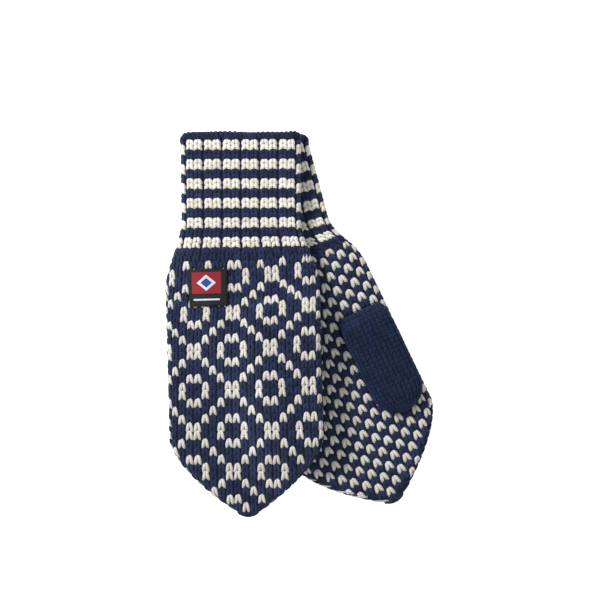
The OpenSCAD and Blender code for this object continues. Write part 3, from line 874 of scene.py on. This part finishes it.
def build_label_stitching(m, turned):
    """Short straight stitches of thread along the label's four sides, at even distances."""
    mesh = Mesh()
    wide, long = LABEL_W - 2 * SEWING_IN, LABEL_LEN - 2 * SEWING_IN
    up = LABEL_GAP + LABEL_T + THREAD_D / 2
    u = np.linspace(-0.5, 0.5, 4) * SEAM_STITCH
    dip = -0.25 * THREAD_D * np.array([1, 0, 0, 1])
    paths = []
    for size, other, is_across in ((wide, LABEL_LEN, True), (long, LABEL_W, False)):
        count = int(size / (2 * SEAM_STITCH))
        for edge in (SEWING_IN, other - SEWING_IN):
            middle = SEWING_IN + size * (np.arange(count) + 0.5) / count
            run, fixed = middle[:, None] + u, np.full((count, 4), edge)
            both = (run, fixed) if is_across else (fixed, run)
            paths.append(np.stack([*both, np.broadcast_to(up + dip, (count, 4))], -1))
    add_yarns(mesh, label_spots(m), np.concatenate(paths), THREAD_D / 2, 1.0, turned, 0.0, 0.0)
    return mesh


# Each piece: how it is built, its looks, and its material slot in the record
BUILDERS = {
    "cast_on_edge": (build_cast_on, "plain", "navy_wool"),
    "cuff": (build_cuff, "cuff", "striped_rib"),
    "wrist_band": (build_band, "plain", "navy_wool"),
    "hand_back": (build_back, "hand", "patterned_back"),
    "palm": (build_palm, "hand", "checked_palm"),
    "inner_floats": (build_floats, "hand", "carried_strands"),
    "tip_closure": (build_closure, "plain", "navy_wool"),
    "thumb_rim": (build_rim, "plain", "navy_wool"),
    "thumb": (build_thumb, "thumb", "thumb_wool"),
    "label": (build_label, "label", "woven_label"),
    "label_stitching": (build_label_stitching, "thread", "sewing_thread"),
}
WRIST_BLEND = 32
THUMB_BLEND_FROM, THUMB_BLEND_TO, THUMB_BLEND_WAY = 6.1, 24.1, (0.61, 0.79)


def body_of(node):
    """The CAD body that a node belongs to."""
    return next(b for b, nodes in frame["record"]["behaviour"]["bodies"].items() if node in nodes)


def bend_thumb(piece, m):
    """The thumb piece's placement, made part of its mesh. The way along the fold that it works out is not used.
    """
    along = heading(m[2]) * THUMB_BLEND_WAY[0]
    way = np.array([along[0], along[1], -m[3] * THUMB_BLEND_WAY[1]]) * MM
    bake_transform(piece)


def build_mitten(side, m, looks):
    """One mitten's pieces, each in place of its CAD node; all but the thumb and the right cuff ride on that
    node's body.
    """
    turned = m[3] > 0
    for name, (build, look, slot) in BUILDERS.items():
        node = f"{side}_{name}"
        if node not in frame["nodes"]:
            continue
        piece = build(m, turned).piece(f"{node}_knit" if look in WOOLS else f"{node}_sewn", looks[look])
        if name == "thumb":
            bend_thumb(piece, m)
        elif node == "right_cuff":
            tuple(place(m, 0, CUFF_LEN, 0))
            tuple(place(m, 0, CUFF_LEN - WRIST_BLEND, 0))
            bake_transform(piece)
        else:
            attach(piece, body_of(node))
        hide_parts(node)


WOOLS = ("plain", "cuff", "hand", "thumb")
looks = {
    "plain": wool("plain_navy_wool"),
    "cuff": wool("striped_rib_wool"),
    "hand": wool("stranded_hand_wool", cream=(0.54, 0.53, 0.50, 1), cream_light=(0.64, 0.64, 0.62, 1)),
    "thumb": wool("fine_thumb_wool", navy=(0.0040, 0.0140, 0.051, 1), navy_light=(0.0095, 0.031, 0.092, 1)),
    "label": label_cloth(),
    "thread": sewing_thread(),
}
for side_name, mitten in SIDES.items():
    build_mitten(side_name, mitten, looks)


# ================================================================ floor, light and camera
def build_floor():
    """A plain pale table top under the mittens."""
    mesh = bpy.data.meshes.new("floor")
    size = 4.0
    mesh.from_pydata([(-size, -size, 0), (size, -size, 0), (size, size, 0), (-size, size, 0)], [],
                     [(0, 1, 2, 3)])
    shader = Shader("pale_floor")
    grain = shader.noise(3.0, 2.0)
    mesh.materials.append(shader.finish(shader.mix(grain, (0.95, 0.95, 0.95, 1), (0.97, 0.97, 0.97, 1)), 0.9,
                                        glow=0.60))
    floor = bpy.data.objects.new("floor", mesh)
    bpy.context.scene.collection.objects.link(floor)


def add_light(name, place_at, aim, size, power):
    """A round soft light at a place, turned towards its aim."""
    data = bpy.data.lights.new(name, "AREA")
    data.shape, data.size, data.energy = "DISK", size, power
    light = bpy.data.objects.new(name, data)
    light.location = place_at
    light.rotation_mode = "QUATERNION"
    way = Vector(aim) - Vector(place_at)
    light.rotation_quaternion = way.to_track_quat("-Z", "Y")
    bpy.context.scene.collection.objects.link(light)


def build_light():
    """Even light all round, a key light from the upper left and a weak fill light."""
    world = bpy.data.worlds.new("studio")
    world.use_nodes = True
    world.node_tree.nodes["Background"].inputs["Color"].default_value = (1, 1, 1, 1)
    world.node_tree.nodes["Background"].inputs["Strength"].default_value = 0.70
    bpy.context.scene.world = world
    add_light("key", (-1.0, 0.65, 1.0), (0, 0, 0), 0.35, 26)
    add_light("fill", (0.9, -0.6, 1.5), (0, 0, 0), 1.2, 4)


VIEW_WIDTH, CAMERA_HEIGHT, SENSOR = 0.420, 3.0, 36.0
VIEW_CENTRE = (0.00056, 0.01716, 0.02)


def build_camera():
    """A camera straight above, far away, so that nothing leans."""
    data = bpy.data.cameras.new("camera")
    data.sensor_width = SENSOR
    data.lens = SENSOR * CAMERA_HEIGHT / VIEW_WIDTH
    data.clip_end = 20
    camera = bpy.data.objects.new("camera", data)
    camera.location = (VIEW_CENTRE[0], VIEW_CENTRE[1], VIEW_CENTRE[2] + CAMERA_HEIGHT)
    bpy.context.scene.collection.objects.link(camera)
    bpy.context.scene.camera = camera


build_floor()
build_light()
build_camera()
bpy.context.scene.view_settings.view_transform = "Standard"
